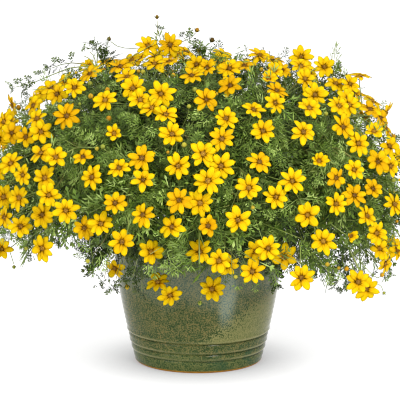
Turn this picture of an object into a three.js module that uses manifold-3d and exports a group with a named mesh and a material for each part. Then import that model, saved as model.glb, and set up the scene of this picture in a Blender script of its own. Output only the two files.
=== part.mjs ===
// A potted fernleaf beggarticks: a glazed pot of potting mix, leafy stems that arch out of it
// into a wide dome, and sprays of yellow blooms that rise between them.
// Millimetres, +Z up, the origin in the middle of the pot's flat base.
import * as THREE from 'three';
import { mergeVertices } from 'three/addons/utils/BufferGeometryUtils.js';
import Module from 'manifold-3d';

const wasm = await Module();
wasm.setup();

// Pot
const POT_HEIGHT = 165;
const RIM_RADIUS = 112;
const FOOT_RADIUS = 82;
const BELLY_SWELL = 3.5;
const WALL = 8;
const FLOOR = 11;
const LIP_ROUND = 3;
const FOOT_CHAMFER = 2.5;
const GROOVE_HEIGHTS = [15, 24.5, 38.5];
const GROOVE_DEPTH = 1.8;
const GROOVE_HALF_WIDTH = 2.4;
const POT_SIDES = 32;
const DRAINS = 3;
const DRAIN_RADIUS = 6;
const DRAIN_RING = 42;
const DRAIN_SIDES = 6;

// Potting mix
const SOIL_TOP = 150;
const SOIL_CROWN = 3;
const HOLE_FLOOR = 122;
const SEAT_GAP = 0.3;

// The dome that the plant fills: a squared ellipse turned about the pot's axis. Its skirt hangs
// lower at the right than in front, behind and at the left.
const DOME_RADIUS = 268;
const DOME_CENTRE = 205;
const DOME_HEIGHT = 187;
const DOME_SQUARENESS = 2.5;
const FRONT_DROOP = THREE.MathUtils.degToRad(101);
const LEFT_DROOP = THREE.MathUtils.degToRad(100);
const RIGHT_DROOP = THREE.MathUtils.degToRad(110);
const GOLDEN_ANGLE = Math.PI * (3 - Math.sqrt(5));
const AREA_STEPS = 200;

// Stems, which all follow one family of arches, so that they keep clear of each other
const STEMS = 40;
const ROOT_SPREAD = 84;
const ARCH_WIDTH = 0.55;
const ARCH_LEAN_WIDTH = 0.18;
const ARCH_RISE = 0.62;
const ARCH_LEAN_RISE = 150;
const STEM_SIDES = 3;
const STEM_TAPER = 0.35;
const GREEN_STEM_RADIUS = 2.6;
const GREEN_ROOT_SHARES = [0.28, 0.14, 0];
const SPRAY_STEM_RADIUS = 3.2;
const SPRAY_SHARES = [0.93, 0.74, 0.54, 0.34, 0.15, 0];

// Blooms
const BLOOMS = 176;
const BLOOM_RADIUS = 16;
const SMALLEST_BLOOM = 0.9;
const LARGEST_BLOOM = 1.06;
const PETALS = 5;
const PETAL_HALF_ANGLE = THREE.MathUtils.degToRad(20);
const NOTCH_RADIUS = 5.5;
const BLOOM_CROWN = 2.4;
const BLOOM_UNDERSIDE = 1.8;
const PEDUNCLE_RADIUS = 1.1;
const PEDUNCLE_ROOT_RADIUS = 0.7;

// How a bloom faces: the pulls outwards, to the light that fell from above in front, and along its
// stalk, and what is left to chance. At the back the light pulls less.
const FACING_CENTRE = 165;
const LIGHT = new THREE.Vector3(0, -0.88, 0.47);
const OUTWARD_PULL = 0.5;
const LIGHT_PULL = 0.95;
const LEAST_LIGHT = 0.35;
const STALK_PULL = 0.2;
const FACING_STRAY = 0.42;
const LEAST_ALONG_STALK = 0.45;

// Where a bloom stands, as shares of an arch, and where its stalk leaves the spray
const BLOOM_DEPTH = 0.05;
const SKIRT_CLEARANCE = THREE.MathUtils.degToRad(4.5);
const LEAST_STRAY = 0.05;
const MOST_STRAY = 0.15;
const LOWEST_BRANCH = 0.45;
const HIGHEST_BRANCH = 0.9;
const BRANCH_STRAY = 0.06;
const BRANCH_DROP_PER_MM = 1 / 240;
const HEAD_SPACING = 28;
const ROOT_SPACING = 6;
const TERMINAL_REACH = 24;

// Leaves: whorls of three-lobed leaves. A lobe's reach is a share of the leaf's length, and its
// turn is measured from the leaf's middle.
const WHORL_SHARES = [0.96, 0.83, 0.69, 0.55, 0.41];
const WHORL_STRAY = 0.03;
const WHORL_LEAVES = 4;
const WHORL_DEPTH = 2.5;
const LEAF_LENGTH = 56;
const LEAST_LEAF = 16;
const SHORTENING = 0.85;
const SIDE_LOBE_REACH = 0.64;
const SIDE_LOBE_TURN = THREE.MathUtils.degToRad(25);
const LOBE_GAP_REACH = 0.36;
const LOBE_GAP_TURN = THREE.MathUtils.degToRad(9);
const LEAF_GAP_RADIUS = 5;
const LEAF_RISE = THREE.MathUtils.degToRad(28);

// Placing by chance, seeded, with room kept to what stands already
const SEED = 20;
const CLEARANCE = 0.6;
const BLOOM_ATTEMPTS = 80;
const WHORL_ATTEMPTS = 12;

const UP = new THREE.Vector3(0, 0, 1);

THREE.MathUtils.seededRandom(SEED);

function draw(low, high) {
  return low + (high - low) * THREE.MathUtils.seededRandom();
}

// A closed surface through rings of points listed from the tip to the root, each ring running
// counter-clockwise seen from the tip, evenly or by its own turns. A ring of one point is a pole.
function loft(rings) {
  const faces = [];
  const addFan = (start, count, flipped) => {
    for (let i = 2; i < count; i += 1) {
      if (flipped) faces.push(start, start + i, start + i - 1);
      else faces.push(start, start + i - 1, start + i);
    }
  };
  let start = 0;
  addFan(start, rings[0].length, false);
  for (let k = 0; k + 1 < rings.length; k += 1) {
    addBand(faces, rings[k], start, rings[k + 1], start + rings[k].length);
    start += rings[k].length;
  }
  addFan(start, rings[rings.length - 1].length, true);
  const geometry = new THREE.BufferGeometry().setFromPoints(rings.flat());
  return geometry.setIndex(faces);
}

// Triangles between two rings, which may have different numbers of points.
function addBand(faces, upper, upperStart, lower, lowerStart) {
  const turnOf = (ring, i) => (i >= ring.length ? 1 : (ring.turns?.[i] ?? i / ring.length));
  const upperSteps = upper.length > 1 ? upper.length : 0;
  const lowerSteps = lower.length > 1 ? lower.length : 0;
  let i = 0;
  let j = 0;
  while (i < upperSteps || j < lowerSteps) {
    const here = upperStart + (i % upper.length);
    const below = lowerStart + (j % lower.length);
    const upperIsNext = j >= lowerSteps || turnOf(upper, i + 1) <= turnOf(lower, j + 1);
    if (i < upperSteps && upperIsNext) {
      i += 1;
      faces.push(here, below, upperStart + (i % upper.length));
    } else {
      j += 1;
      faces.push(here, below, lowerStart + (j % lower.length));
    }
  }
}

function solidOf(geometry) {
  const bare = geometry.clone();
  bare.deleteAttribute('normal');
  bare.deleteAttribute('uv');
  const merged = mergeVertices(bare);
  return new wasm.Manifold(new wasm.Mesh({
    numProp: 3,
    vertProperties: new Float32Array(merged.attributes.position.array),
    triVerts: new Uint32Array(merged.index.array),
  }));
}

function geometryOf(solid) {
  const mesh = solid.getMesh();
  const geometry = new THREE.BufferGeometry();
  geometry.setAttribute('position', new THREE.BufferAttribute(mesh.vertProperties, mesh.numProp));
  geometry.setIndex(new THREE.BufferAttribute(mesh.triVerts, 1));
  geometry.computeVertexNormals();
  return geometry;
}

// Two axes square to a direction, the first one as near as it can be to a wanted one.
function axesAcross(direction, wanted) {
  const first = wanted.clone().addScaledVector(direction, -wanted.dot(direction)).normalize();
  return [first, new THREE.Vector3().crossVectors(direction, first)];
}

function stalkRing(centre, direction, across, radius) {
  const [first, second] = axesAcross(direction, across);
  return Array.from({ length: STEM_SIDES }, (_, corner) => {
    const turn = (corner / STEM_SIDES) * 2 * Math.PI;
    return centre.clone()
      .addScaledVector(first, radius * Math.cos(turn))
      .addScaledVector(second, radius * Math.sin(turn));
  });
}

// Pot

// Outer radius of the pot's wall, which swells a little between foot and rim.
function wallRadius(height) {
  const share = height / POT_HEIGHT;
  return FOOT_RADIUS + (RIM_RADIUS - FOOT_RADIUS) * share + BELLY_SWELL * Math.sin(Math.PI * share);
}

function groove(height) {
  const below = height - GROOVE_HALF_WIDTH;
  const above = height + GROOVE_HALF_WIDTH;
  return [[wallRadius(below), below], [wallRadius(height) - GROOVE_DEPTH, height], [wallRadius(above), above]];
}

function innerWall() {
  const heights = [POT_HEIGHT - LIP_ROUND, POT_HEIGHT / 2, FLOOR];
  return heights.map((height) => [wallRadius(height) - WALL, height]);
}

function turned(profile) {
  const points = profile.map(([radius, height]) => new THREE.Vector2(radius, height));
  return solidOf(new THREE.LatheGeometry(points, POT_SIDES).rotateX(Math.PI / 2));
}

function potSolid() {
  let pot = turned([
    [0, 0],
    [FOOT_RADIUS - FOOT_CHAMFER, 0],
    [wallRadius(FOOT_CHAMFER), FOOT_CHAMFER],
    ...GROOVE_HEIGHTS.flatMap(groove),
    [wallRadius(POT_HEIGHT / 2), POT_HEIGHT / 2],
    [wallRadius(POT_HEIGHT - LIP_ROUND), POT_HEIGHT - LIP_ROUND],
    [RIM_RADIUS - LIP_ROUND, POT_HEIGHT],
    ...innerWall(),
    [0, FLOOR],
  ]);
  for (let k = 0; k < DRAINS; k += 1) {
    const turn = (k / DRAINS) * 2 * Math.PI;
    const drain = new THREE.CylinderGeometry(DRAIN_RADIUS, DRAIN_RADIUS, 4 * FLOOR, DRAIN_SIDES)
      .rotateX(Math.PI / 2)
      .translate(DRAIN_RING * Math.cos(turn), DRAIN_RING * Math.sin(turn), 0);
    pot = pot.subtract(solidOf(drain));
  }
  return pot;
}

// Potting mix: it fills the pot to a little under the rim, with a plain hole for each stem.
function soilSolid(stems) {
  const [rim, middle, floor] = innerWall();
  const rise = (SOIL_TOP - middle[1]) / (rim[1] - middle[1]);
  const side = 2 * SEAT_GAP;
  let soil = turned([
    [0, FLOOR + SEAT_GAP],
    [floor[0] - side, FLOOR + SEAT_GAP],
    [middle[0] - side, middle[1]],
    [middle[0] + rise * (rim[0] - middle[0]) - side, SOIL_TOP],
    [0, SOIL_TOP + SOIL_CROWN],
  ]);
  for (const { curve, across, radius } of stems) {
    const root = curve.getPoint(0);
    const holeRing = (height) => stalkRing(root.clone().setZ(height), UP, across, radius + 2 * SEAT_GAP);
    soil = soil.subtract(solidOf(loft([holeRing(SOIL_TOP + 4 * SOIL_CROWN), holeRing(HOLE_FLOOR)])));
  }
  return soil;
}

// Stems

function domeReach(polar) {
  const flat = (Math.sin(polar) / DOME_RADIUS) ** DOME_SQUARENESS;
  const tall = (Math.abs(Math.cos(polar)) / DOME_HEIGHT) ** DOME_SQUARENESS;
  return (flat + tall) ** (-1 / DOME_SQUARENESS);
}

// The angle from upright that takes in a share of the dome's area.
function evenPolar(share, lowest) {
  const areas = [0];
  for (let k = 1; k <= AREA_STEPS; k += 1) {
    const polar = (k / AREA_STEPS) * lowest;
    areas.push(areas[k - 1] + domeReach(polar) ** 2 * Math.sin(polar));
  }
  const wanted = share * areas[AREA_STEPS];
  return (areas.findIndex((area) => area >= wanted) / AREA_STEPS) * lowest;
}

// Headings spread evenly over the dome, on the golden angle.
function heading(index, count) {
  const azimuth = index * GOLDEN_ANGLE;
  const side = Math.cos(azimuth);
  const lowest = FRONT_DROOP + ((side > 0 ? RIGHT_DROOP : LEFT_DROOP) - FRONT_DROOP) * Math.abs(side);
  return { azimuth, lowest, polar: evenPolar((index + 0.5) / count, lowest) };
}

// The arch that leads from the potting mix out to the dome under a heading.
function arch({ azimuth, polar }) {
  const lean = polar / RIGHT_DROOP;
  const reach = domeReach(polar);
  const endRadius = reach * Math.sin(polar);
  const endHeight = DOME_CENTRE + reach * Math.cos(polar);
  const at = (radius, height) => (
    new THREE.Vector3(radius * Math.cos(azimuth), radius * Math.sin(azimuth), height)
  );
  return new THREE.QuadraticBezierCurve3(
    at(ROOT_SPREAD * lean, SOIL_TOP + SOIL_CROWN),
    at(
      endRadius * (ARCH_WIDTH + ARCH_LEAN_WIDTH * lean),
      SOIL_TOP + ARCH_RISE * (endHeight - SOIL_TOP) + ARCH_LEAN_RISE * lean,
    ),
    at(endRadius, endHeight),
  );
}

// Leafy stems and sprays take turns over the dome.
function stemOf(index) {
  const way = heading(index, STEMS);
  const leafy = index % 2 === 0;
  return {
    leafy,
    radius: leafy ? GREEN_STEM_RADIUS : SPRAY_STEM_RADIUS,
    curve: arch(way),
    across: new THREE.Vector3(-Math.sin(way.azimuth), Math.cos(way.azimuth), 0),
    blooms: [],
    whorls: [],
  };
}

// Rings of a stem square to its arch at some shares of it, and its foot down in its hole.
function stemRings(stem, shares) {
  return shares.map((share) => {
    const direction = share === 0 ? UP : stem.curve.getTangent(share);
    const radius = stem.radius * (1 - STEM_TAPER * share);
    return stalkRing(stem.curve.getPoint(share), direction, stem.across, radius);
  });
}

function footRing(stem) {
  const foot = stem.curve.getPoint(0).setZ(HOLE_FLOOR + SEAT_GAP);
  return stalkRing(foot, UP, stem.across, stem.radius);
}

// The middle of a stem between its rings, where it runs straight from one to the next.
function stemMiddle(stem, shares, share) {
  const upper = shares.findLast((ring) => ring >= share);
  const lower = shares.find((ring) => ring < share);
  const part = (share - lower) / (upper - lower);
  return stem.curve.getPoint(lower).lerp(stem.curve.getPoint(upper), part);
}

// What already stands, so that what comes later is bent clear of it.
const standing = [];

function stand(solid, owner) {
  standing.push({ solid, owner, box: solid.boundingBox() });
  return solid;
}

function boxesMeet(a, b) {
  return [0, 1, 2].every((k) => a.min[k] < b.max[k] && b.min[k] < a.max[k]);
}

function meets(a, b) {
  const common = a.intersect(b);
  const meeting = !common.isEmpty();
  common.delete();
  return meeting;
}

// Whether a trial solid would cross a piece of another owner. The trial solid is then let go.
function crosses(trial, owner) {
  const box = trial.boundingBox();
  const crossing = standing.some((other) => (
    other.owner !== owner && boxesMeet(box, other.box) && meets(trial, other.solid)
  ));
  trial.delete();
  return crossing;
}

// Blooms

// A bloom's head, from its raised middle over the outline of its blunt petals to its neck.
function headRings({ centre, facing, turn, radius }, grow = 0) {
  const [east, north] = axesAcross(facing, new THREE.Vector3(-facing.z, 0, facing.x));
  const first = east.applyAxisAngle(facing, turn);
  const second = north.applyAxisAngle(facing, turn);
  const spot = (angle, distance, lift) => centre.clone()
    .addScaledVector(first, distance * Math.cos(angle))
    .addScaledVector(second, distance * Math.sin(angle))
    .addScaledVector(facing, lift);
  const outline = [];
  for (let petal = 0; petal < PETALS; petal += 1) {
    const middle = (petal / PETALS) * 2 * Math.PI;
    outline.push(spot(middle - PETAL_HALF_ANGLE, radius + grow, 0));
    outline.push(spot(middle + PETAL_HALF_ANGLE, radius + grow, 0));
    outline.push(spot(middle + Math.PI / PETALS, NOTCH_RADIUS + grow, 0));
  }
  const neck = stalkRing(spot(0, 0, -BLOOM_UNDERSIDE - grow), facing, first, PEDUNCLE_RADIUS + grow);
  return [[spot(0, 0, BLOOM_CROWN + grow)], outline, neck];
}

// A bloom with its peduncle, whose root is sunk in the spray's stalk.
function bloomSolid(place, grow = 0) {
  const rings = headRings(place, grow);
  const rise = place.centre.clone().sub(place.root).normalize();
  const across = rings[2][0].clone().sub(rings[2][1]);
  return solidOf(loft([...rings, stalkRing(place.root, rise, across, PEDUNCLE_ROOT_RADIUS + grow)]));
}

function facingOf(centre, rise) {
  const outward = centre.clone().sub(new THREE.Vector3(0, 0, FACING_CENTRE)).normalize();
  const lit = THREE.MathUtils.clamp(1 - outward.y, LEAST_LIGHT, 1);
  return outward
    .multiplyScalar(OUTWARD_PULL)
    .addScaledVector(LIGHT, LIGHT_PULL * lit)
    .addScaledVector(rise, STALK_PULL)
    .add(new THREE.Vector3(
      draw(-FACING_STRAY, FACING_STRAY),
      draw(-FACING_STRAY, FACING_STRAY),
      draw(-FACING_STRAY, FACING_STRAY),
    ))
    .normalize();
}

function bloomSize() {
  return BLOOM_RADIUS * draw(SMALLEST_BLOOM, LARGEST_BLOOM);
}

// A spray's own stalk, which ends in its first bloom.
function sprayStalk(stem) {
  const centre = stem.curve.getPoint(1);
  const facing = facingOf(centre, stem.curve.getTangent(1));
  const root = stem.curve.getPoint(SPRAY_SHARES[0]);
  const place = { centre, facing, root, turn: 0, radius: bloomSize() };
  stem.blooms.push(place);
  return solidOf(loft([...headRings(place), ...stemRings(stem, SPRAY_SHARES), footRing(stem)]));
}

// Blooms stand evenly over the dome, a little astray.
function bloomCentre(index, stray) {
  const { azimuth, lowest, polar } = heading(index, BLOOMS);
  const narrowest = 0.35;
  const curve = arch({
    azimuth: azimuth + draw(-stray, stray) / Math.max(narrowest, Math.sin(polar)),
    polar: THREE.MathUtils.clamp(polar + draw(-stray, stray), 0, lowest - SKIRT_CLEARANCE),
  });
  return curve.getPoint(1 + draw(-BLOOM_DEPTH, BLOOM_DEPTH));
}

function reachOf(stem, point) {
  return stem.curve.getPoint(1).distanceTo(point);
}

// Whether a bloom's head or peduncle comes too near another bloom of its own spray.
function crowds(place, spray) {
  const own = new THREE.Line3(place.root, place.centre);
  const near = new THREE.Vector3();
  return spray.blooms.some((other) => {
    const theirs = new THREE.Line3(other.root, other.centre);
    const headToStalk = own.closestPointToPoint(other.centre, true, near).distanceTo(other.centre);
    const stalkToHead = theirs.closestPointToPoint(place.centre, true, near).distanceTo(place.centre);
    return Math.min(headToStalk, stalkToHead) < BLOOM_RADIUS
      || other.centre.distanceTo(place.centre) < HEAD_SPACING
      || other.root.distanceTo(place.root) < ROOT_SPACING;
  });
}

// Tries a bloom on the spray whose own bloom is nearest. The further it stands from that bloom,
// the lower its stalk leaves the spray.
function tryBloom(index, stray, sprays) {
  const centre = bloomCentre(index, stray);
  const spray = sprays.reduce((best, stem) => (reachOf(stem, centre) < reachOf(best, centre) ? stem : best));
  const highest = HIGHEST_BRANCH - reachOf(spray, centre) * BRANCH_DROP_PER_MM;
  const share = THREE.MathUtils.clamp(
    highest + draw(-BRANCH_STRAY, BRANCH_STRAY),
    LOWEST_BRANCH,
    HIGHEST_BRANCH,
  );
  const root = stemMiddle(spray, SPRAY_SHARES, share);
  const rise = centre.clone().sub(root).normalize();
  const facing = facingOf(centre, rise);
  const place = { centre, facing, root, turn: draw(0, 2 * Math.PI), radius: bloomSize() };
  const fits = facing.dot(rise) > LEAST_ALONG_STALK
    && !crowds(place, spray)
    && !crosses(bloomSolid(place, CLEARANCE), spray);
  if (fits) {
    stand(bloomSolid(place), spray);
    spray.blooms.push(place);
  }
  return fits;
}

function raiseBlooms(sprays) {
  for (let index = 0; index < BLOOMS; index += 1) {
    const even = bloomCentre(index, 0);
    const taken = sprays.some((stem) => reachOf(stem, even) < TERMINAL_REACH);
    let stray = LEAST_STRAY;
    while (!taken && stray < MOST_STRAY && !tryBloom(index, stray, sprays)) {
      stray += (MOST_STRAY - LEAST_STRAY) / BLOOM_ATTEMPTS;
    }
  }
}

// Leaves

// The outline of a whorl of leaves round a stem: each leaf has a long lobe between two side lobes.
function whorlOutline(stem, share, turn, lengths, grow) {
  const centre = stem.curve.getPoint(share);
  const axis = stem.curve.getTangent(share);
  const [first, second] = axesAcross(axis, stem.across);
  const corners = lengths.flatMap((length, leaf) => {
    const middle = turn + (leaf / lengths.length) * 2 * Math.PI;
    const corner = (angle, reach) => ({
      share: THREE.MathUtils.euclideanModulo((middle + angle) / (2 * Math.PI), 1),
      reach: Math.max(LEAF_GAP_RADIUS, reach * length) + grow,
    });
    return [
      corner(-Math.PI / lengths.length, 0),
      corner(-SIDE_LOBE_TURN, SIDE_LOBE_REACH),
      corner(-LOBE_GAP_TURN, LOBE_GAP_REACH),
      corner(0, 1),
      corner(LOBE_GAP_TURN, LOBE_GAP_REACH),
      corner(SIDE_LOBE_TURN, SIDE_LOBE_REACH),
    ];
  });
  corners.sort((a, b) => a.share - b.share);
  const ring = corners.map((corner) => {
    const angle = corner.share * 2 * Math.PI;
    return centre.clone()
      .addScaledVector(first, corner.reach * Math.cos(LEAF_RISE) * Math.cos(angle))
      .addScaledVector(second, corner.reach * Math.cos(LEAF_RISE) * Math.sin(angle))
      .addScaledVector(axis, corner.reach * Math.sin(LEAF_RISE));
  });
  ring.turns = corners.map((corner) => corner.share);
  return ring;
}

// A whorl between the stem's rings just above and just below it.
function whorlRings(stem, { share, turn, lengths }, grow = 0) {
  const axis = stem.curve.getTangent(share);
  const radius = stem.radius * (1 - STEM_TAPER * share) + grow;
  const stemAt = (lift) => {
    const middle = stem.curve.getPoint(share).addScaledVector(axis, lift);
    return stalkRing(middle, axis, stem.across, radius);
  };
  return [
    stemAt(WHORL_DEPTH + grow),
    whorlOutline(stem, share, turn, lengths, grow),
    stemAt(-WHORL_DEPTH - grow),
  ];
}

function isClear(stem, whorl) {
  return !crosses(solidOf(loft(whorlRings(stem, whorl, CLEARANCE))), stem);
}

// Draws a whorl near an even place on its stem, each leaf as long as it can be and still clear.
function growWhorl(stem, evenShare) {
  const bare = Array(WHORL_LEAVES).fill(0);
  const turn = draw(0, 2 * Math.PI);
  const shares = Array.from({ length: WHORL_ATTEMPTS }, () => evenShare - draw(0, WHORL_STRAY));
  const share = shares.find((trial) => isClear(stem, { share: trial, turn, lengths: bare }));
  if (share === undefined) return;
  const lengths = bare.map((_, leaf) => {
    let length = LEAF_LENGTH * draw(0.8, 1.1);
    while (length > LEAST_LEAF && !isClear(stem, { share, turn, lengths: bare.with(leaf, length) })) {
      length *= SHORTENING;
    }
    return length > LEAST_LEAF ? length : 0;
  });
  const whorl = { share, turn, lengths };
  stand(solidOf(loft(whorlRings(stem, whorl))), stem);
  stem.whorls.push(whorl);
}

function bareStem(stem) {
  return solidOf(loft([...stemRings(stem, [...WHORL_SHARES, ...GREEN_ROOT_SHARES]), footRing(stem)]));
}

function leafyStem(stem) {
  return solidOf(loft([
    ...stem.whorls.flatMap((whorl) => whorlRings(stem, whorl)),
    ...stemRings(stem, GREEN_ROOT_SHARES),
    footRing(stem),
  ]));
}

function spraySolid(stem) {
  const [, ...branches] = stem.blooms;
  return wasm.Manifold.union([stem.stalk, ...branches.map((place) => bloomSolid(place))]);
}

// Assembly

const finishes = {
  glaze: { color: 0x6b6f48, roughness: 0.35 },
  mix: { color: 0x3a2a1e, roughness: 0.95 },
  foliage: { color: 0x5f6a2b, roughness: 0.7 },
  petals: { color: 0xebc415, roughness: 0.6 },
};

const group = new THREE.Group();

function addPiece(name, solid, finish) {
  const mesh = new THREE.Mesh(geometryOf(solid), new THREE.MeshStandardMaterial({ ...finish, metalness: 0 }));
  mesh.name = name;
  group.add(mesh);
}

function numbered(name, k) {
  return `${name}_${String(k + 1).padStart(2, '0')}`;
}

const stems = Array.from({ length: STEMS }, (_, index) => stemOf(index));
const leafyStems = stems.filter((stem) => stem.leafy);
const sprays = stems.filter((stem) => !stem.leafy);

addPiece('pot', stand(potSolid(), 'pot'), finishes.glaze);
addPiece('soil', stand(soilSolid(stems), 'soil'), finishes.mix);
for (const stem of sprays) stem.stalk = stand(sprayStalk(stem), stem);
for (const stem of leafyStems) stand(bareStem(stem), stem);
raiseBlooms(sprays);
for (const share of WHORL_SHARES) {
  for (const stem of leafyStems) growWhorl(stem, share);
}
leafyStems.forEach((stem, k) => addPiece(numbered('leafy_stem', k), leafyStem(stem), finishes.foliage));
sprays.forEach((stem, k) => addPiece(numbered('flower_spray', k), spraySolid(stem), finishes.petals));

export default group;
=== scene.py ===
import math

import bpy
import numpy as np
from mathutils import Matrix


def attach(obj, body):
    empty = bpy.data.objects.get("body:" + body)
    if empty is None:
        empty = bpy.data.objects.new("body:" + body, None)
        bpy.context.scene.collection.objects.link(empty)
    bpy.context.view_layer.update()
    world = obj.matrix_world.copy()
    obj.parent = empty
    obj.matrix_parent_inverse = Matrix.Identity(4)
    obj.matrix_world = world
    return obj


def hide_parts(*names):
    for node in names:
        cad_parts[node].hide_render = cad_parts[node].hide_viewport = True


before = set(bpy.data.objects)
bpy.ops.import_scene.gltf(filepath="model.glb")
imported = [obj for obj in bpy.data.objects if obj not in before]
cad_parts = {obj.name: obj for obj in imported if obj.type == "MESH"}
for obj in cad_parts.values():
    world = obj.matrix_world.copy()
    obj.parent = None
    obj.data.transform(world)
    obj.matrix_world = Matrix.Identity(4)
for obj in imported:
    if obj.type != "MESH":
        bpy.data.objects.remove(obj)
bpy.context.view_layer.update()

MM = 0.001
UP = np.array([0.0, 0.0, 1.0])
GOLDEN_ANGLE = math.pi * (3 - math.sqrt(5))

# Camera: heights and distances in millimetres, the lens as pixels of a picture 400 pixels wide
PICTURE = 400
CAMERA_DISTANCE = 2200
CAMERA_HEIGHT = 550.5
AIM_HEIGHT = 208.5
AIM_ACROSS = 2
LENS_PIXELS = 1730
SENSOR = 36

# Pot, as in the CAD source
POT_HEIGHT = 165
RIM_RADIUS = 112
FOOT_RADIUS = 82
BELLY_SWELL = 3.5
WALL = 8
FLOOR = 11
LIP_ROUND = 3
FOOT_CHAMFER = 2.5
GROOVE_HEIGHTS = [15, 24.5, 38.5]
GROOVE_DEPTH = 1.8
DRAINS = 3
DRAIN_RADIUS = 6
DRAIN_RING = 42
SOIL_TOP = 150
SOIL_CROWN = 3

# Dome and arches, as in the CAD source
DOME_RADIUS = 268
DOME_CENTRE = 205
DOME_HEIGHT = 187
DOME_SQUARENESS = 2.5
FRONT_DROOP = math.radians(101)
LEFT_DROOP = math.radians(100)
RIGHT_DROOP = math.radians(110)
AREA_STEPS = 200
STEMS = 40
ROOT_SPREAD = 84
ARCH_WIDTH = 0.55
ARCH_LEAN_WIDTH = 0.18
ARCH_RISE = 0.62
ARCH_LEAN_RISE = 150

# What the CAD source's blooms and whorls measure, by which they are found in its solids
APEX_TO_NOTCH = 6.0008
APEX_TO_NECK = 4.3417
NOTCHES = 5
NECK_SIDES = 3
SHOULDERS = (13.5, 17.5)
LEAST_STALK = 10
SAME_SIZE = 0.05
BLOOM_CROWN = 2.4
BLOOM_RADIUS = 16
LEAF_RISE = math.radians(28)
LOWEST_WHORL = 0.35
LEAST_TIP = 11

# Stems and blooms
ROOT_DEPTH = 20
NECK_LENGTH = 4.4
PETAL_COUNTS = [6, 7, 8, 8, 8, 8, 8, 9]
PETAL_ROOT = 1.6
CLOSED_LIFT = math.radians(68)
DISC_DOME = [(0, 2.1), (1.3, 1.8), (2.3, 1.0), (2.5, 0.1), (2.0, -1.0), (0, -1.4)]
GREEN_CUP = [(0, -0.6), (2.2, -0.8), (2.0, -2.4), (1.0, -4.2), (0, -5.0)]
BUD_EGG = [(0, 1.15), (0.55, 0.9), (0.95, 0.25), (0.9, -0.45), (0.45, -1.0), (0, -1.2)]

SEED = 7
rng = np.random.default_rng(SEED)

# Finishes of a plant piece, in the order of its material slots
PETAL, DISC, STALK, LEAF, BUD = range(5)


def draw(low, high):
    return float(rng.uniform(low, high))


def unit(v):
    return np.asarray(v, float) / np.linalg.norm(v)


def units(rows):
    return rows / np.linalg.norm(rows, axis=1)[:, None]


def mix(a, b, share):
    return a + (b - a) * share


def around(first, second, angle):
    return first * math.cos(angle) + second * math.sin(angle)


def circle(count, start=0.0):
    """Level directions, evenly spaced round the Z axis."""
    turn = (np.arange(count) + start) / count * 2 * np.pi
    return np.stack([np.cos(turn), np.sin(turn), np.zeros(count)], 1)


def jitter(reach):
    return np.array([draw(-reach, reach) for _ in range(3)])


def add_object(name, data):
    made = bpy.data.objects.new(name, data)
    bpy.context.scene.collection.objects.link(made)
    return made


# Camera

def make_camera():
    data = bpy.data.cameras.new("camera")
    data.sensor_width = SENSOR
    data.lens = SENSOR * LENS_PIXELS / PICTURE
    data.clip_start = 0.1
    data.clip_end = 100
    camera = add_object("camera", data)
    pitch = math.atan2(CAMERA_HEIGHT - AIM_HEIGHT, CAMERA_DISTANCE)
    camera.location = (AIM_ACROSS * MM, -CAMERA_DISTANCE * MM, CAMERA_HEIGHT * MM)
    camera.rotation_euler = (math.pi / 2 - pitch, 0, 0)
    bpy.context.scene.camera = camera
    return pitch


pitch = make_camera()


def seen(column, row, depth):
    """The point that shows at a pixel of the picture, so far behind the pot's axis, in millimetres."""
    across = (column - PICTURE / 2) / LENS_PIXELS
    down = (row - PICTURE / 2) / LENS_PIXELS
    ray = np.array([
        across,
        math.cos(pitch) - down * math.sin(pitch),
        -math.sin(pitch) - down * math.cos(pitch),
    ])
    eye = np.array([AIM_ACROSS, -CAMERA_DISTANCE, CAMERA_HEIGHT], float)
    return eye + ray * (CAMERA_DISTANCE + depth) / ray[1]


# Materials

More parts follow.
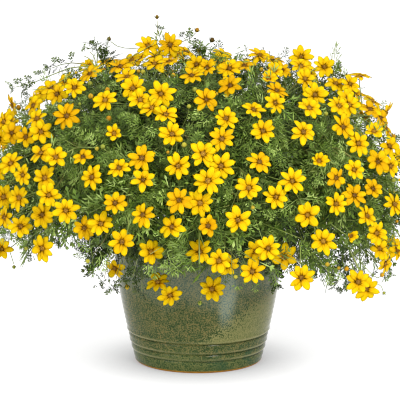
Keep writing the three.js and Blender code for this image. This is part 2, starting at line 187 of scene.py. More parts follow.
class Graph:
    """A material's nodes, with the shader already there."""

    def __init__(self, name, **shader):
        self.material = bpy.data.materials.new(name)
        self.material.use_nodes = True
        self.nodes = self.material.node_tree.nodes
        self.shader = self.nodes["Principled BSDF"]
        for key, value in shader.items():
            self.shader.inputs[key.replace("_", " ")].default_value = value

    def link(self, source, target):
        self.material.node_tree.links.new(source, target)

    def feed(self, socket, value):
        if isinstance(value, bpy.types.NodeSocket):
            self.link(value, socket)
        else:
            socket.default_value = value

    def node(self, kind, **values):
        made = self.nodes.new("ShaderNode" + kind)
        for key, value in values.items():
            self.feed(made.inputs[key.replace("_", " ")], value)
        return made

    def attribute(self, name):
        made = self.node("Attribute")
        made.attribute_name = name
        return made.outputs["Fac"]

    def place(self):
        return self.node("TexCoord").outputs["Object"]

    def noise(self, scale, detail=3.0, roughness=0.5, stretch=(1, 1, 1)):
        place = self.node("Mapping", Scale=stretch, Vector=self.place()).outputs["Vector"]
        made = self.node("TexNoise", Scale=scale, Detail=detail, Roughness=roughness, Vector=place)
        return made.outputs["Fac"]

    def ramp(self, source, stops):
        made = self.node("ValToRGB", Fac=source)
        elements = made.color_ramp.elements
        while len(elements) < len(stops):
            elements.new(0.5)
        for element, (position, colour) in zip(elements, stops):
            element.position = position
            element.color = rgba(colour)
        return made.outputs["Color"]

    def blend(self, share, first, second):
        made = self.node("Mix")
        made.data_type = "RGBA"
        for socket, value in zip((0, 6, 7), (share, first, second)):
            self.feed(made.inputs[socket], value)
        return made.outputs[2]

    def math(self, operation, *values):
        made = self.node("Math")
        made.operation = operation
        for socket, value in zip(made.inputs, values):
            self.feed(socket, value)
        return made.outputs["Value"]

    def times(self, first, *others):
        for other in others:
            first = self.math("MULTIPLY", first, other)
        return first

    def plus(self, first, *others):
        for other in others:
            first = self.math("ADD", first, other)
        return first

    def apart(self, first, second):
        return self.math("ABSOLUTE", self.math("SUBTRACT", first, second))

    def span(self, source, low, high, to_low=0.0, to_high=1.0):
        made = self.node("MapRange", Value=source, From_Min=low, From_Max=high, To_Min=to_low, To_Max=to_high)
        made.interpolation_type = "SMOOTHSTEP"
        return made.outputs["Result"]

    def bump(self, height, strength, distance):
        made = self.node("Bump", Strength=strength, Distance=distance, Height=height)
        self.link(made.outputs["Normal"], self.shader.inputs["Normal"])

    def paint(self, colour):
        self.link(colour, self.shader.inputs["Base Color"])
        return self.material


def rgba(colour):
    """A colour given as sRGB from 0 to 255, as Blender's linear one."""
    def linear(c):
        c /= 255
        return c / 12.92 if c <= 0.04045 else ((c + 0.055) / 1.055) ** 2.4
    return (*(linear(c) for c in colour), 1.0)


def petal_material():
    """Golden at the base, with painted shade along the pleats towards the base, clear yellow outwards, deeper
    on some blooms.
    """
    graph = Graph("petal", Roughness=0.7, Specular_IOR_Level=0.06)
    reach = graph.attribute("reach")
    along = graph.ramp(reach, [
        (0.0, (132, 84, 3)), (0.12, (198, 144, 3)), (0.34, (226, 181, 3)),
        (0.75, (232, 197, 6)), (1.0, (228, 191, 5)),
    ])
    pleat = graph.math("COSINE", graph.times(graph.attribute("side"), 4 * math.pi))
    # Painted shade: darker along the pleats, strongest near the base
    shade = graph.times(graph.span(pleat, 0.2, 1.0), graph.span(reach, 0.95, 0.1, 0.0, 0.42))
    pleat_shaded = graph.blend(shade, along, rgba((198, 138, 3)))
    aged = graph.blend(graph.span(graph.attribute("tone"), 0.6, 1.0, 0.0, 0.7), pleat_shaded, rgba((202, 143, 3)))
    mottled = graph.blend(graph.span(graph.noise(260), 0.52, 0.8, 0.0, 0.22), aged, rgba((210, 154, 3)))
    graph.bump(pleat, 0.25, 0.0004)
    return graph.paint(mottled)


def disc_material():
    graph = Graph("disc", Roughness=0.8)
    grain = graph.noise(900, detail=2)
    old = graph.ramp(grain, [(0.3, (50, 33, 8)), (0.5, (98, 65, 10)), (0.68, (164, 117, 18))])
    young = graph.ramp(grain, [(0.3, (118, 82, 12)), (0.5, (176, 126, 18)), (0.7, (224, 178, 30))])
    graph.bump(grain, 0.6, 0.0006)
    return graph.paint(graph.blend(graph.attribute("tone"), young, old))


def stalk_material():
    """Pale yellow-green, some parts flushed red-brown."""
    graph = Graph("stalk", Roughness=0.6)
    fresh = graph.ramp(graph.noise(35), [
        (0.3, (98, 118, 46)), (0.55, (136, 152, 66)), (0.75, (172, 178, 96)),
    ])
    flush = graph.span(graph.noise(16, stretch=(1, 1, 1.7)), 0.55, 0.7, 0.0, 0.6)
    graph.bump(graph.noise(500), 0.3, 0.0003)
    return graph.paint(graph.blend(flush, fresh, rgba((128, 88, 52))))


def leaf_material():
    """Greens from a deep blue-green to a pale grey-green, by each leaf's tone, which holds painted shade deep
    inside the plant, with lighter tips.
    """
    graph = Graph("leaf", Roughness=0.55, Specular_IOR_Level=0.25)
    green = graph.ramp(graph.attribute("tone"), [
        (0.0, (24, 38, 9)), (0.35, (57, 81, 19)), (0.7, (108, 138, 43)), (1.0, (172, 194, 106)),
    ])
    tips = graph.span(graph.attribute("reach"), 0.4, 1.0, 0.0, 0.3)
    tipped = graph.blend(tips, green, rgba((150, 170, 76)))
    patched = graph.blend(graph.span(graph.noise(22), 0.42, 0.66, 0.0, 0.45), tipped, rgba((54, 76, 20)))
    graph.bump(graph.noise(700), 0.3, 0.0002)
    return graph.paint(patched)


def bud_material():
    """Green, then yellow and amber, and brown once a bloom is over."""
    graph = Graph("bud", Roughness=0.7, Specular_IOR_Level=0.12)
    ripe = graph.ramp(graph.attribute("tone"), [
        (0.0, (132, 148, 62)), (0.35, (178, 170, 58)), (0.7, (204, 146, 22)), (1.0, (84, 62, 26)),
    ])
    streak = graph.span(graph.noise(600, stretch=(1, 1, 0.3)), 0.45, 0.7, 0.0, 0.45)
    graph.bump(graph.noise(600), 0.5, 0.0005)
    return graph.paint(graph.blend(streak, ripe, rgba((92, 96, 34))))


PLANT_FINISHES = [petal_material(), disc_material(), stalk_material(), leaf_material(), bud_material()]
SMOOTH = [PETAL, DISC, STALK, BUD]


class Shape:
    """Triangles gathered for one piece, in millimetres, each corner with a tone, a reach and a side."""

    def __init__(self):
        self.points = []
        self.faces = []
        self.finishes = []
        self.values = {"tone": [], "reach": [], "side": []}
        self.count = 0

    def add(self, points, faces, finish, tone=0.5, reach=0.0, side=0.0):
        points = np.asarray(points, float).reshape(-1, 3)
        self.points.append(points)
        self.faces.append(np.asarray(faces, int).reshape(-1, 3) + self.count)
        self.finishes.append(np.full(len(self.faces[-1]), finish))
        for key, value in (("tone", tone), ("reach", reach), ("side", side)):
            self.values[key].append(np.broadcast_to(np.asarray(value, float), len(points)))
        self.count += len(points)

    def piece(self, name, materials, slot, node):
        finishes = np.concatenate(self.finishes)
        mesh = bpy.data.meshes.new(name)
        mesh.from_pydata((np.concatenate(self.points) * MM).tolist(), [], np.concatenate(self.faces).tolist())
        for material in materials:
            mesh.materials.append(material)
        mesh.polygons.foreach_set("material_index", finishes.astype(np.int32))
        mesh.polygons.foreach_set("use_smooth", np.isin(finishes, SMOOTH))
        for key, values in self.values.items():
            attribute = mesh.attributes.new(key, "FLOAT", "POINT")
            attribute.data.foreach_set("value", np.concatenate(values).astype(np.float32))
        mesh.update()
        body = add_object(name, mesh)
        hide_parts(node)
        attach(body, "root")


# Stalks

def square_to(direction, wanted):
    """Two axes square to a direction, the first as near as it can be to a wanted one."""
    first = wanted - direction * np.dot(wanted, direction)
    if np.linalg.norm(first) < 1e-6:
        first = np.cross(direction, [1.0, 0.3, 0.2])
    first = unit(first)
    return first, np.cross(direction, first)


def bezier(controls, shares):
    """Points of a Bezier curve of any degree."""
    points = [np.outer(np.ones(len(shares)), c) for c in controls]
    s = np.asarray(shares, float)[:, None]
    while len(points) > 1:
        points = [a + (b - a) * s for a, b in zip(points, points[1:])]
    return points[0]


def ring_faces(sides, rings):
    """Faces of a closed form whose corners are a pole, its rings one after another, and a last pole."""
    i = 1 + np.arange(sides)
    j = np.roll(i, -1)
    top = (rings - 1) * sides
    faces = [np.stack([0 * i, j, i], 1)]
    for low in range(0, top, sides):
        high = low + sides
        faces.append(np.stack([low + i, low + j, high + j], 1))
        faces.append(np.stack([low + i, high + j, high + i], 1))
    faces.append(np.stack([0 * i + top + sides + 1, top + i, top + j], 1))
    return np.concatenate(faces)


def turned_corners(profile, sides):
    """Corners turned about Z from a profile that starts and ends on the axis."""
    rings = [circle(sides) * radius + UP * height for radius, height in profile[1:-1]]
    return np.concatenate([[UP * profile[0][1]], *rings, [UP * profile[-1][1]]])


def tube(shape, path, radii, sides=4, tone=0.5):
    """A closed stalk along a path, its ends drawn to a point."""
    tangents = units(np.gradient(path, axis=0))
    across = square_to(tangents[0], UP)[0]
    rings = []
    for point, tangent, radius in zip(path, tangents, radii):
        across, other = square_to(tangent, across)
        rings.append(point + radius * circle(sides) @ np.stack([across, other, tangent]))
    first = path[0] - tangents[0] * radii[0]
    last = path[-1] + tangents[-1] * radii[-1]
    shape.add(np.concatenate([[first], *rings, [last]]), ring_faces(sides, len(path)), STALK, tone)


# Dome and arches

def dome_reach(polar):
    flat = (math.sin(polar) / DOME_RADIUS) ** DOME_SQUARENESS
    tall = (abs(math.cos(polar)) / DOME_HEIGHT) ** DOME_SQUARENESS
    return (flat + tall) ** (-1 / DOME_SQUARENESS)


def even_polar(share, lowest):
    steps = np.arange(1, AREA_STEPS + 1) / AREA_STEPS * lowest
    areas = np.cumsum([dome_reach(p) ** 2 * math.sin(p) for p in steps])
    return float(steps[int(np.argmax(areas >= share * areas[-1]))])


def lowest_at(azimuth):
    side = math.cos(azimuth)
    return mix(FRONT_DROOP, RIGHT_DROOP if side > 0 else LEFT_DROOP, abs(side))


def heading(index, count):
    azimuth = index * GOLDEN_ANGLE
    return azimuth, even_polar((index + 0.5) / count, lowest_at(azimuth))


def arch(azimuth, polar):
    """Control points of the arch that leads from the potting mix to the dome."""
    lean = polar / RIGHT_DROOP
    reach = dome_reach(polar)
    end_radius = reach * math.sin(polar)
    end_height = DOME_CENTRE + reach * math.cos(polar)
    spots = [
        (ROOT_SPREAD * lean, SOIL_TOP + SOIL_CROWN),
        (
            end_radius * (ARCH_WIDTH + ARCH_LEAN_WIDTH * lean),
            SOIL_TOP + ARCH_RISE * (end_height - SOIL_TOP) + ARCH_LEAN_RISE * lean,
        ),
        (end_radius, end_height),
    ]
    return [np.array([r * math.cos(azimuth), r * math.sin(azimuth), h]) for r, h in spots]


def on_dome(column, row):
    """Where the line of sight through a pixel first meets the dome, or else comes nearest to it."""
    depths = np.arange(-1.1 * DOME_RADIUS, 0.5 * DOME_RADIUS, 4)
    points = np.array([seen(column, row, depth) for depth in depths])
    away = points - [0, 0, DOME_CENTRE]
    reach = np.linalg.norm(away, axis=1)
    outside = reach - np.array([dome_reach(polar) for polar in np.arccos(away[:, 2] / reach)])
    met = np.nonzero(outside < 0)[0]
    return points[met[0] if len(met) else int(outside.argmin())]


def point_at(controls, share):
    return bezier(controls, [share])[0]


def tangent_at(controls, share):
    a, b, c = controls
    return unit((b - a) * (1 - share) + (c - b) * share)


def outward(point):
    """Away from the middle of the pot's rim."""
    return unit(point - UP * POT_HEIGHT)


class Stem:
    def __init__(self, index):
        self.leafy = index % 2 == 0
        self.number = index // 2 + 1
        self.node = f"{'leafy_stem' if self.leafy else 'flower_spray'}_{self.number:02d}"
        self.controls = arch(*heading(index, STEMS))
        self.end = self.controls[2]
        self.blooms = []
        self.shape = Shape()


stems = [Stem(index) for index in range(STEMS)]
leafy_stems = [stem for stem in stems if stem.leafy]
sprays = [stem for stem in stems if not stem.leafy]


def nearest(group, point):
    return min(group, key=lambda stem: np.linalg.norm(stem.end - point))


# Places read from the CAD solids

def corners_of(node):
    """A solid's corners in millimetres, merged by position, and which of them are joined."""
    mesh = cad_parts[node].data
    points = np.array([v.co for v in mesh.vertices]) / MM
    keys = np.round(points, 2)
    merged, index = np.unique(keys, axis=0, return_inverse=True)
    index = index.reshape(-1)
    edges = np.array([index[list(e.vertices)] for e in mesh.edges])
    edges = edges[edges[:, 0] != edges[:, 1]]
    return merged, np.unique(np.sort(edges, axis=1), axis=0)


def read_blooms(stem):
    """Finds each bloom of a spray by its raised middle, which its notches and neck stand round."""
    points, edges = corners_of(stem.node)
    gaps = np.linalg.norm(points[:, None] - points[None], axis=2)
    here, there = np.concatenate([edges, edges[:, ::-1]]).T
    for apex, row in zip(points, gaps):
        notches = np.nonzero(np.abs(row - APEX_TO_NOTCH) < SAME_SIZE)[0]
        necks = np.nonzero(np.abs(row - APEX_TO_NECK) < SAME_SIZE)[0]
        if len(notches) != NOTCHES or len(necks) != NECK_SIDES:
            continue
        facing = unit(apex - points[notches].mean(0))
        centre = apex - facing * BLOOM_CROWN
        reach = np.linalg.norm(points[np.argsort(row)] - centre, axis=1)
        radius = reach[(reach > SHOULDERS[0]) & (reach < SHOULDERS[1])][:2 * NOTCHES].mean()
        stalk = np.isin(here, necks) & ~np.isin(there, necks) & (gaps[here, there] > LEAST_STALK)
        root = points[there[stalk]].mean(0) if stalk.any() else point_at(stem.controls, 0.8)
        stem.blooms.append((centre, facing, root, float(radius)))


def read_leaves(stem):
    """Finds the tips of a leafy stem's lobes: each stands out past the corners that it is joined to."""
    points, edges = corners_of(stem.node)
    shares = np.linspace(0.3, 1, 141)
    lines = np.array([tangent_at(stem.controls, s) for s in shares])
    # A corner's whorl is where the corner lies at the leaves' rise from the stem
    away = points[:, None] - bezier(stem.controls, shares)
    along = np.einsum("pij,ij->pi", away, lines)
    off = np.linalg.norm(away - along[..., None] * lines, axis=2)
    best = np.abs(along - off * math.tan(LEAF_RISE)).argmin(1)
    reach = off[np.arange(len(points)), best] / math.cos(LEAF_RISE)
    beside = np.zeros(len(points))
    for here, there in (edges.T, edges.T[::-1]):
        np.maximum.at(beside, here, reach[there])
    tips = (shares[best] > LOWEST_WHORL) & (reach > LEAST_TIP) & (reach > beside)
    return list(zip(shares[best][tips], points[tips], reach[tips]))


for stem in sprays:
    read_blooms(stem)


# Blooms

# Across a petal there are five corners and along it five, in two layers that share their border
PETAL_ROWS = np.array([0.0, 0.25, 0.55, 0.83, 1.0])
PETAL_WIDTHS = np.array([0.56, 0.9, 1.0, 0.68, 0.15])
PETAL_COLUMNS = np.array([-1.0, -0.5, 0.0, 0.5, 1.0])
PETAL_THICKNESS = 0.35


def petal_layers():
    """The grid numbers of a petal's upper and lower layers, and its faces."""
    rows, columns = len(PETAL_ROWS), len(PETAL_COLUMNS)
    upper = np.arange(rows * columns).reshape(rows, columns)
    lower = upper.copy()
    inner = (rows - 2) * (columns - 2)
    lower[1:-1, 1:-1] = rows * columns + np.arange(inner).reshape(rows - 2, columns - 2)
    faces = []
    for grid, flipped in ((upper, False), (lower, True)):
        for r in range(rows - 1):
            for c in range(columns - 1):
                a, b, d, e = grid[r, c], grid[r + 1, c], grid[r + 1, c + 1], grid[r, c + 1]
                pair = [(a, b, d), (a, d, e)] if (r + c) % 2 else [(a, b, e), (b, d, e)]
                faces += [face[::-1] for face in pair] if flipped else pair
    return np.array(faces)


PETAL_FACES = petal_layers()
PETAL_SIDES, PETAL_REACHES = (grid.ravel() for grid in np.meshgrid(PETAL_COLUMNS, PETAL_ROWS))
INNER = (np.abs(PETAL_SIDES) < 1) & (PETAL_REACHES > 0) & (PETAL_REACHES < 1)


def petal(shape, origin, axes, length, width, lift, curl, cup, notch, tone):
    """One petal: it leaves its origin along the first axis, crosses the second, and faces the third."""
    reach, side = PETAL_REACHES, PETAL_SIDES
    half = width / 2 * np.interp(reach, PETAL_ROWS, PETAL_WIDTHS)
    teeth = np.where(np.abs(side) == 0.5, 0.0, np.where(side == 0, notch, 2.2 * notch))
    x = length * math.cos(lift) * (reach - np.where(reach == 1, teeth, 0))
    y = half * side
    pleats = 0.3 * np.cos(2 * math.pi * side) * np.sin(math.pi * np.minimum(reach, 1))
    z = length * (math.sin(lift) * reach - curl * reach ** 2) + cup * side ** 2 * half + pleats
    upper = np.stack([x, y, z], 1)
    lower = upper[INNER] - [0, 0, PETAL_THICKNESS]
    points = np.concatenate([upper, lower]) @ axes + origin
    shape.add(
        points, PETAL_FACES, PETAL, tone,
        np.concatenate([reach, reach[INNER]]), np.concatenate([side, side[INNER]]),
    )


def turned(shape, origin, axes, profile, sides, finish, tone):
    """A closed turned form about the third axis, from a pole at the top to one at the bottom."""
    faces = ring_faces(sides, len(profile) - 2)[:, ::-1]
    shape.add(turned_corners(profile, sides) @ axes + origin, faces, finish, tone)


BLADE_FACES = np.array([[0, 1, 2], [0, 3, 1], [0, 2, 3], [1, 3, 2]])


def blade_faces(count):
    return (BLADE_FACES[None] + 4 * np.arange(count)[:, None, None]).reshape(-1, 3)


def blades(bases, directions, normals, lengths, widths, thickness, widest=0.55):
    """Thin pointed blades of four faces each, ridged above from base to tip."""
    bases = np.asarray(bases, float)
    directions = np.asarray(directions, float)
    sides = np.cross(normals, directions)
    lengths = np.asarray(lengths, float)[:, None]
    widths = np.asarray(widths, float)[:, None]
    ridge = np.asarray(normals, float) * thickness
    middle = bases + directions * lengths * widest - ridge
    corners = np.stack([
        bases,
        bases + directions * lengths,
        middle + sides * widths / 2,
        middle - sides * widths / 2,
    ], 1)
    return corners.reshape(-1, 3), blade_faces(len(bases))


def bracts(shape, origin, axes, radius, length, width, fall, height, finish, tone, count=8):
    """A ring of small blades round the third axis."""
    out = circle(count, draw(0, 1))
    along = out * math.cos(fall) - UP * math.sin(fall)
    normal = out * math.sin(fall) + UP * math.cos(fall)
    points, faces = blades(out * radius + UP * height, along, normal, [length] * count, [width] * count, 0.3)
    shape.add(points @ axes + origin, faces, finish, tone, 0.2)


def bloom_axes(facing, turn):
    across, other = square_to(facing, UP)
    first = around(across, other, turn)
    return np.stack([first, np.cross(facing, first), facing])


def bloom(shape, centre, facing, radius, openness=1.0):
    """A bloom: pleated petals round a dark dome of florets, over a green cup with narrow bracts."""
    axes = bloom_axes(facing, draw(0, 2 * math.pi))
    age = draw(0, 1)
    count = int(rng.choice(PETAL_COUNTS))
    size = radius / BLOOM_RADIUS
    length = (radius - PETAL_ROOT) * mix(0.7, 1, openness)
    breadth = 8 / max(count, 7) * size * mix(0.6, 1, openness)
    for k in range(count):
        angle = (k + draw(-0.2, 0.2)) / count * 2 * math.pi
        out = np.array([math.cos(angle), math.sin(angle), 0.0])
        across = unit([-out[1], out[0], draw(-0.28, 0.28)])
        own = np.stack([out, across, np.cross(out, across)]) @ axes
        lift = CLOSED_LIFT * (1 - openness) + math.radians(draw(2, 24))
        petal(
            shape, centre + own[0] * PETAL_ROOT + axes[2] * (0.25 * (k % 2)), own,
            length * draw(0.92, 1.18), draw(7.0, 9.4) * breadth, lift,
            draw(0.12, 0.36), draw(-0.06, 0.22), draw(0.01, 0.07), mix(age, draw(0, 1), 0.25),
        )
    spread = size * draw(0.95, 1.3)
    turned(shape, centre, axes, [(r * spread, h) for r, h in DISC_DOME], 8, DISC, mix(age, 0.5, 0.3))
    for ring, lean, height in ((1.7, -1.25, 0.9), (0.8, -1.4, 1.5)):
        bracts(shape, centre, axes, ring * spread, 1.7, 1.0, lean, height, DISC, age)
    turned(shape, centre, axes, GREEN_CUP, 6, BUD, 0.1)
    bracts(shape, centre, axes, 1.6, 5.0, 1.3, draw(0.1, 0.9), -2.6, LEAF, 0.55)


def bud(shape, centre, facing, size, ripeness):
    """A round bud in a cup of narrow bracts."""
    axes = bloom_axes(facing, draw(0, 6))
    turned(shape, centre, axes, [(r * size, h * size) for r, h in BUD_EGG], 7, BUD, ripeness)
    bracts(shape, centre, axes, 0.7 * size, 1.5 * size, 0.5 * size, -1.0, -0.7 * size, LEAF, 0.45)


def peduncle(shape, root, leaving, end, facing, thick=0.62, thin=0.5):
    """A thin curved stalk from a root to the underside of a bloom."""
    span = np.linalg.norm(end - root)
    neck = end - facing * NECK_LENGTH
    path = bezier([
        root,
        root + leaving * span * 0.35,
        neck - facing * span * 0.3 + jitter(1) * span * 0.05,
        neck,
    ], np.linspace(0, 1, 8))
    tube(shape, path, np.linspace(thick, thin, 8))


# Leaves

LOBE_SHADES = 0.27
LARGE_REACH = 40


def leaf_template(pinnae, bend, wide=0.056):
    """A leaf one unit long, twice cut: its blades lie along X, its upper side faces +Z."""
    bases, directions, lengths, widths = [], [], [], []

    def blade(base, angle, length, width):
        bases.append((base[0], base[1], 0.0))
        directions.append((math.cos(angle), math.sin(angle), 0.0))
        lengths.append(length)
        widths.append(width)

    for place, reach, lobes in pinnae:
        for hand in (-1, 1):
            angle = hand * draw(0.75, 1.0)
            start = np.array([place + draw(-0.015, 0.015), 0.0])
            line = np.array([math.cos(angle), math.sin(angle)])
            blade(start, angle, reach * 0.72, wide * 0.55)
            blade(start + line * reach * 0.5, angle, reach * 0.5, wide)
            for k in range(lobes):
                at = start + line * reach * (0.24 + 0.3 * k)
                for turn in (-0.66, 0.66):
                    way = angle + turn + draw(-0.15, 0.15)
                    blade(at, way, reach * draw(0.46, 0.6), wide * draw(0.8, 1.0))
    blade((0.0, 0.0), 0.0, 0.62, wide * 0.6)
    blade((0.4, 0.0), 0.0, 0.5, wide * 0.55)
    blade((0.78, 0.0), 0.0, 0.22, wide)
    for hand in (-1, 1):
        blade((0.8, 0.0), hand * 0.6, 0.19, wide * 0.9)
    normals = np.tile([0.0, 0.0, 1.0], (len(bases), 1))
    normals[:, 1] += np.array([draw(-0.35, 0.35) for _ in bases])
    directions = np.array(directions)
    normals = units(normals - directions * np.einsum("ij,ij->i", normals, directions)[:, None])
    points, _ = blades(bases, directions, normals, lengths, widths, 0.009)
    points[:, 2] += 0.1 * np.abs(points[:, 1]) - bend * points[:, 0] ** 2
    return points


LARGE_PINNAE = [(0.24, 0.42, 2), (0.44, 0.44, 1), (0.64, 0.32, 1)]
FULL_PINNAE = [(0.3, 0.42, 1), (0.5, 0.38, 1), (0.68, 0.28, 0)]
SHORT_PINNAE = [(0.38, 0.4, 1), (0.6, 0.32, 1)]
BROAD_PINNAE = [(0.3, 0.42, 1), (0.56, 0.36, 0)]
large_leaves = [leaf_template(LARGE_PINNAE, bend, 0.036) for bend in (0.05, 0.14, 0.22, 0.3)]
full_leaves = [leaf_template(FULL_PINNAE, bend) for bend in (0.05, 0.14, 0.22, 0.3)]
broad_leaves = [leaf_template(BROAD_PINNAE, bend, 0.1) for bend in (0.05, 0.25)]
tuft_leaves = [leaf_template(SHORT_PINNAE, bend, 0.105) for bend in (0.0, 0.15, 0.3)]
short_leaves = [leaf_template(SHORT_PINNAE, bend) for bend in (0.0, 0.12, 0.25)]


def leaf(shape, base, direction, upper, length, templates, tone):
    points = templates[int(rng.integers(len(templates)))]
    direction = unit(direction)
    normal, _ = square_to(direction, upper)
    axes = np.stack([direction, np.cross(normal, direction), normal])
    hand = rng.choice([-1.0, 1.0])
    placed = ((points * [1, hand, 1] * length) @ axes + base).reshape(-1, 4, 3)
    shades = rng.uniform(-LOBE_SHADES, LOBE_SHADES, len(placed))
    shown = clear_of_faces(placed)
    faces = blade_faces(int(shown.sum()))
    tones = np.repeat((tone + shades[shown]).clip(0, 1), 4)
    reach = points[:, 0].reshape(-1, 4)[shown].ravel().clip(0, 1)
    shape.add(placed[shown].reshape(-1, 3), faces if hand > 0 else faces[:, ::-1], LEAF, tones, reach)


def clear_of_faces(placed):
    """Which of a leaf's blades neither pass through a bloom nor stand before one."""
    shown = np.ones(len(placed), bool)
    spread = np.linalg.norm(placed[:, 1] - placed[0, 0], axis=1).max()
    near = np.linalg.norm(standing_centres - placed[0, 0], axis=1) < FRONT_CLEARANCE + spread
    for k in np.nonzero(near)[0]:
        centre, facing, radius = standing[k]
        ways = [(facing, FACE_CLEARANCE)]
        if facing @ FRONT > LEAST_SHOWN:
            ways.append((FRONT, FRONT_CLEARANCE))
        for spots in (placed[:, 1], placed.mean(1)):
            away = spots - centre
            for way, clearance in ways:
                ahead = away @ way
                aside = np.linalg.norm(away - ahead[:, None] * way, axis=1)
                shown &= (ahead < -PETAL_SAG) | (ahead > clearance) | (aside > radius + 1.5)
    return shown


def leaf_tone_and_shade(point):
    """Painted shade, paler outwards and deeper inside the plant, and a tone that differs by chance."""
    depth = np.linalg.norm((point - [0, 0, DOME_CENTRE]) / DOME_RADIUS)
    return float(np.clip(mix(-0.52, 0.62, min(depth, 1.1)) + draw(-0.26, 0.34), 0, 1))


def whorls(stem):
    """A fine leaf from the stem to each lobe tip of the CAD solid."""
    for share, tip, reach in read_leaves(stem):
        axis = tangent_at(stem.controls, share)
        base = point_at(stem.controls, share)
        rise = axis * 0.9 + UP * 0.5
        templates = large_leaves if reach > LARGE_REACH else short_leaves
        leaf(stem.shape, base, tip - base, rise, np.linalg.norm(tip - base) * 1.04, templates, leaf_tone_and_shade(tip))


def shoot(
    shape, root, leaving, end, arriving, pairs, leaf_length,
    templates=None, tuft=3, thick=0.9, lowest=0.35, shade=0.0,
):
    """A leafy side shoot: a thin stem with leaves in crossed pairs and a tuft at its end."""
    span = np.linalg.norm(end - root)
    controls = [root, root + leaving * span * 0.35, end - arriving * span * 0.35, end]
    path = bezier(controls, np.linspace(0, 1, 6))
    tube(shape, path, np.linspace(thick, 0.35, 6), tone=draw(0, 1))
    spin = draw(0, math.pi)

    def add_leaf(at, way, light, size):
        leaf(shape, at, way, light, leaf_length * size, templates or full_leaves, leaf_tone_and_shade(at) - shade)

    for k in range(pairs):
        share = mix(lowest, 0.95, (k + draw(0.2, 0.8)) / pairs)
        here, ahead = bezier(controls, [share, min(1.0, share + 0.05)])
        line = unit(ahead - here)
        side = around(*square_to(line, UP), spin + k * math.pi / 2)
        for hand in (-1, 1):
            way = line * draw(0.5, 0.9) + side * hand
            add_leaf(here, way, outward(here) + UP * 0.5 + line * 0.3, draw(0.75, 1.1))
    line = unit(path[-1] - path[-2])
    for k in range(tuft):
        side = around(*square_to(line, UP), spin + k * 2 * math.pi / tuft)
        way = line * draw(0.9, 1.5) + side
        add_leaf(end, way, line + outward(end) * 0.4, draw(0.55, 0.8))


# Blooms over the whole plant: those of the CAD source, and more between them

MORE_BLOOMS = 210
LEAST_SHARE = 0.12
PICTURED_WIDTH = 470
BUDS = 220
LEAST_GAP = 24.5
LIGHT = np.array([0.0, -0.88, 0.47])

# Room kept before a bloom's face, and before a bloom that the front of the plant shows
FACE_CLEARANCE = 30
FRONT_CLEARANCE = 55
FRONT = unit([0.0, -0.97, 0.24])
LEAST_SHOWN = 0.35
PETAL_SAG = 5


def stem_tube(stem, thick, thin):
    """The stem itself, from inside the potting mix to the dome."""
    path = bezier(stem.controls, np.linspace(0, 1, 16))
    foot = path[0] - UP * ROOT_DEPTH
    tube(stem.shape, np.vstack([foot, path]), np.linspace(thick, thin, 17), 6, 0.4)


def facing_of(centre, rise):
    """Outwards and to the light, more so at the front."""
    out = outward(centre)
    lit = float(np.clip(1 - out[1], 0.35, 1))
    return unit(out * 0.5 + LIGHT * 0.95 * lit + rise * 0.2 + jitter(0.5))


def spray_root(stem, centre):
    reach = np.linalg.norm(stem.end - centre)
    share = float(np.clip(0.9 - reach / 240 + draw(-0.06, 0.06), 0.4, 0.92))
    return point_at(stem.controls, share)


def leaving_of(stem, root, end):
    return unit(mix(tangent_at(stem.controls, 0.75), unit(end - root), 0.5))


standing = []


def stand_bloom(stem, centre, facing, radius, root, openness=1.0):
    standing.append((centre, facing, radius))
    peduncle(stem.shape, root, leaving_of(stem, root, centre), centre, facing)
    bloom(stem.shape, centre, facing, radius, openness)


def dome_spot(index, count, low, high, stray=0.13):
    azimuth, polar = heading(index, count)
    azimuth += draw(-stray, stray) / max(0.35, math.sin(polar))
    polar = max(0.0, min(polar + draw(-stray, stray), lowest_at(azimuth) - 0.1))
    return point_at(arch(azimuth, polar), draw(low, high))


def add_bloom(centre):
    """One more bloom on the nearest spray, unless another stands too near."""
    if min(np.linalg.norm(centre - other[0]) for other in standing) >= LEAST_GAP:
        stem = nearest(sprays, centre)
        root = spray_root(stem, centre)
        facing = facing_of(centre, unit(centre - root))
        openness = 1.0 if draw(0, 1) < 0.84 else draw(0.4, 0.8)
        stand_bloom(stem, centre, facing, draw(13.2, 17.2), root, openness)


def add_side_bloom(index):
    """A bloom beside or behind what the photograph shows: fewer at the back and on top."""
    even = dome_spot(index + 0.5, MORE_BLOOMS, 1, 1, 0)
    forward = -outward(even)[1]
    pictured = forward > 0.25 and abs(even[0]) < PICTURED_WIDTH / 2
    if draw(0, 1) < mix(LEAST_SHARE, 1, max(0.0, forward)) and not pictured:
        add_bloom(dome_spot(index + 0.5, MORE_BLOOMS, 0.95, 1.05))


def hides_bloom(point):
    for centre, _, radius in standing:
        away = point - centre
        ahead = away @ FRONT
        aside = np.linalg.norm(away - ahead * FRONT)
        if -PETAL_SAG < ahead < FRONT_CLEARANCE and aside < radius + 2:
            return True
    return False


def add_bud(index):
    end = dome_spot(index + 0.3, BUDS, 0.96, 1.06)
    if hides_bloom(end):
        return
    stem = nearest(sprays, end)
    root = spray_root(stem, end)
    facing = unit(facing_of(end, unit(end - root)) + UP * 0.3)
    peduncle(stem.shape, root, leaving_of(stem, root, end), end, facing, 0.5, 0.4)
    bud(stem.shape, end, facing, draw(1.9, 3.4), draw(0.05, 0.85))


for stem in leafy_stems:
    stem_tube(stem, 2.2, 0.8)
for stem in sprays:
    stem_tube(stem, 2.0, 0.7)
    for centre, facing, root, radius in stem.blooms:
        stand_bloom(stem, centre, facing, radius, root, 1.0 if draw(0, 1) < 0.95 else draw(0.35, 0.8))

